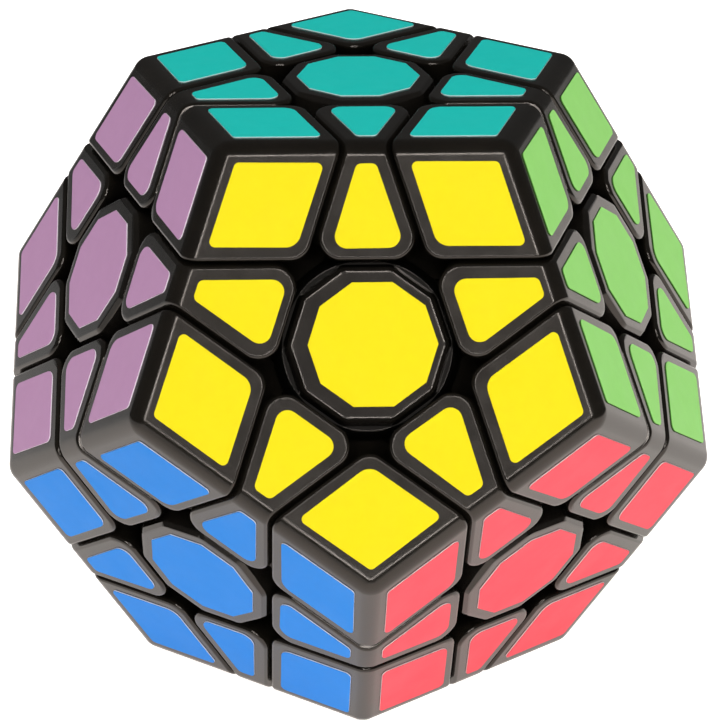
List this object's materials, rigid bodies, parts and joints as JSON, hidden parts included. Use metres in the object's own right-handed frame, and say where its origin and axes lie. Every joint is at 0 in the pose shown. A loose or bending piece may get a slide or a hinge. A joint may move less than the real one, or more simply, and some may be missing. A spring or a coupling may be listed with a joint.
{
  "type": "dodecahedron twisty puzzle",
  "caption": "Hand-held dodecahedron twisty puzzle with coloured stickers, whose face layers turn about screws in a central core.",
  "frame": {"origin": "centre of the puzzle, where the face axes meet", "axes": "+Z out of the top face, -Y towards the front face, which leans up from the horizontal"},
  "size_m": [0.0812, 0.085, 0.07],
  "materials": {
    "piece_plastic": "semi-gloss moulded plastic, black, with polished rims",
    "cap_plastic": "semi-gloss moulded plastic, black",
    "centre_plastic": "glossy moulded plastic, black",
    "core_plastic": "plain moulded plastic, black",
    "screw_steel": "zinc-plated steel",
    "vinyl_yellow": "thin satin vinyl sticker",
    "vinyl_teal": "thin satin vinyl sticker",
    "vinyl_green": "thin satin vinyl sticker",
    "vinyl_purple": "thin satin vinyl sticker",
    "vinyl_red": "thin satin vinyl sticker",
    "vinyl_blue": "thin satin vinyl sticker",
    "vinyl_orange": "thin satin vinyl sticker",
    "vinyl_pink": "thin satin vinyl sticker",
    "vinyl_dark_green": "thin satin vinyl sticker",
    "vinyl_white": "thin satin vinyl sticker",
    "vinyl_grey": "thin satin vinyl sticker",
    "vinyl_cream": "thin satin vinyl sticker"
  },
  "bodies": {
    "core": {"core_stickers": "vinyl_teal", "corner_left_low_rear_left_low_left": "piece_plastic", "corner_rear_left_low_rear_left_left": "piece_plastic", "corner_rear_left_low_rear_low_rear_left": "piece_plastic", "corner_right_low_right_low_rear_right": "piece_plastic", "corner_top_rear_left_left": "piece_plastic", "edge_rear_left_left": "piece_plastic", "edge_top_left": "piece_plastic", "edge_top_rear_left": "piece_plastic", "edge_top_right": "piece_plastic", "low_left_edges": "piece_plastic", "low_rear_edges": "piece_plastic", "low_rear_left_edges": "piece_plastic", "low_rear_right_edges": "piece_plastic", "low_right_edges": "piece_plastic", "other_caps": "cap_plastic", "other_centres": "centre_plastic", "spider_core": "core_plastic", "tension_screws": "screw_steel", "tension_springs": "screw_steel", "tension_washers": "screw_steel"},
    "front_layer": {"corner_front_left_low_left": "piece_plastic", "corner_front_low_left_low_right": "piece_plastic", "corner_front_low_right_right": "piece_plastic", "corner_top_front_right": "piece_plastic", "corner_top_left_front": "piece_plastic", "edge_front_left": "piece_plastic", "edge_front_low_left": "piece_plastic", "edge_front_low_right": "piece_plastic", "edge_front_right": "piece_plastic", "edge_top_front": "piece_plastic", "front_cap": "cap_plastic", "front_centre": "centre_plastic", "front_stickers": "vinyl_yellow"},
    "rear_right_layer": {"corner_rear_right_low_rear_rear_left": "piece_plastic", "corner_rear_right_low_rear_right_low_rear": "piece_plastic", "corner_right_low_rear_right_rear_right": "piece_plastic", "corner_top_rear_right_rear_left": "piece_plastic", "corner_top_right_rear_right": "piece_plastic", "edge_rear_right_low_rear": "piece_plastic", "edge_rear_right_low_rear_right": "piece_plastic", "edge_rear_right_rear_left": "piece_plastic", "edge_right_rear_right": "piece_plastic", "edge_top_rear_right": "piece_plastic", "rear_right_cap": "cap_plastic", "rear_right_centre": "centre_plastic", "rear_right_stickers": "vinyl_orange"},
    "bottom_layer": {"bottom_cap": "cap_plastic", "bottom_centre": "centre_plastic", "bottom_stickers": "vinyl_cream", "corner_low_rear_bottom_low_rear_left": "piece_plastic", "corner_low_rear_left_bottom_low_left": "piece_plastic", "corner_low_rear_right_bottom_low_rear": "piece_plastic", "corner_low_right_bottom_low_rear_right": "piece_plastic", "corner_low_right_low_left_bottom": "piece_plastic", "edge_low_left_bottom": "piece_plastic", "edge_low_rear_bottom": "piece_plastic", "edge_low_rear_left_bottom": "piece_plastic", "edge_low_rear_right_bottom": "piece_plastic", "edge_low_right_bottom": "piece_plastic"}
  },
  "joints": [
    {"name": "front_turn", "type": "hinge", "parent": "core", "child": "front_layer", "pos_m": [0, 0, 0], "axis": [0, -0.8944, 0.4472], "continuous": true},
    {"name": "rear_right_turn", "type": "hinge", "parent": "core", "child": "rear_right_layer", "pos_m": [0, 0, 0], "axis": [0.5257, 0.7236, 0.4472], "continuous": true},
    {"name": "bottom_turn", "type": "hinge", "parent": "core", "child": "bottom_layer", "pos_m": [0, 0, 0], "axis": [0, 0, -1], "continuous": true}
  ]
}
